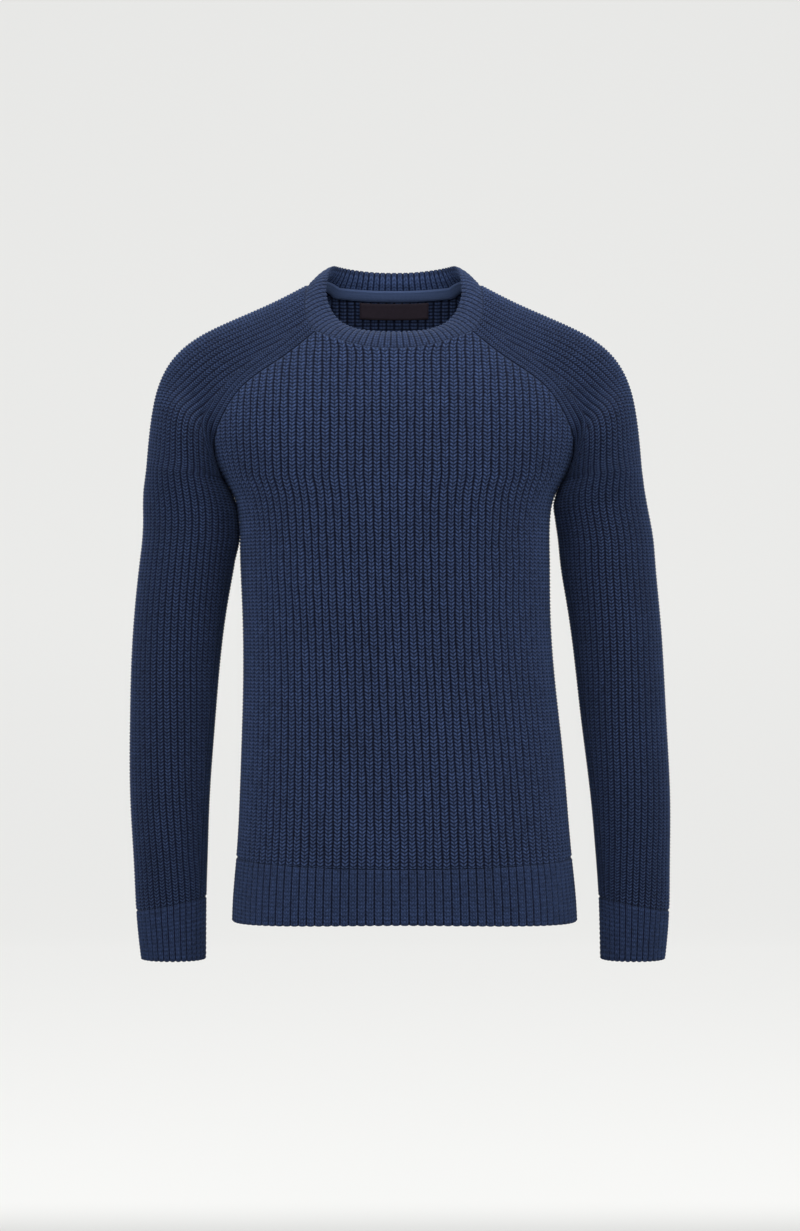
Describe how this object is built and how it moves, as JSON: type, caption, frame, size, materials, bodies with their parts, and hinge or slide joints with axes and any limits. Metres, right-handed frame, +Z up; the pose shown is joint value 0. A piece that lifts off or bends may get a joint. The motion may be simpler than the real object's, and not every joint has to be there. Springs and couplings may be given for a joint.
{
  "type": "rib knit sweater",
  "caption": "Hollow long-sleeved rib knit sweater with raglan sleeves, a folded rib collar, and a ribbed hem and cuffs, filled out as worn.",
  "frame": {"origin": "middle of the neck opening, where a neck and shoulders hold the garment up", "axes": "+Z up the body; the garment's front faces -Y; +X is the wearer's left"},
  "size_m": [0.5666, 0.2387, 0.7296],
  "materials": {
    "knit": "matte cotton yarn, half-cardigan rib",
    "rib": "matte cotton yarn, 1x1 rib",
    "tape": "matte jersey",
    "label": "dark woven satin, blank"
  },
  "bodies": {
    "root": {"front": "knit", "back": "knit", "sleeve_left": "knit", "sleeve_right": "knit", "hem_rib_front": "rib", "hem_rib_back": "rib", "cuff_left": "rib", "cuff_right": "rib", "collar": "rib", "neck_tape": "tape", "label": "label"}
  },
  "joints": []
}
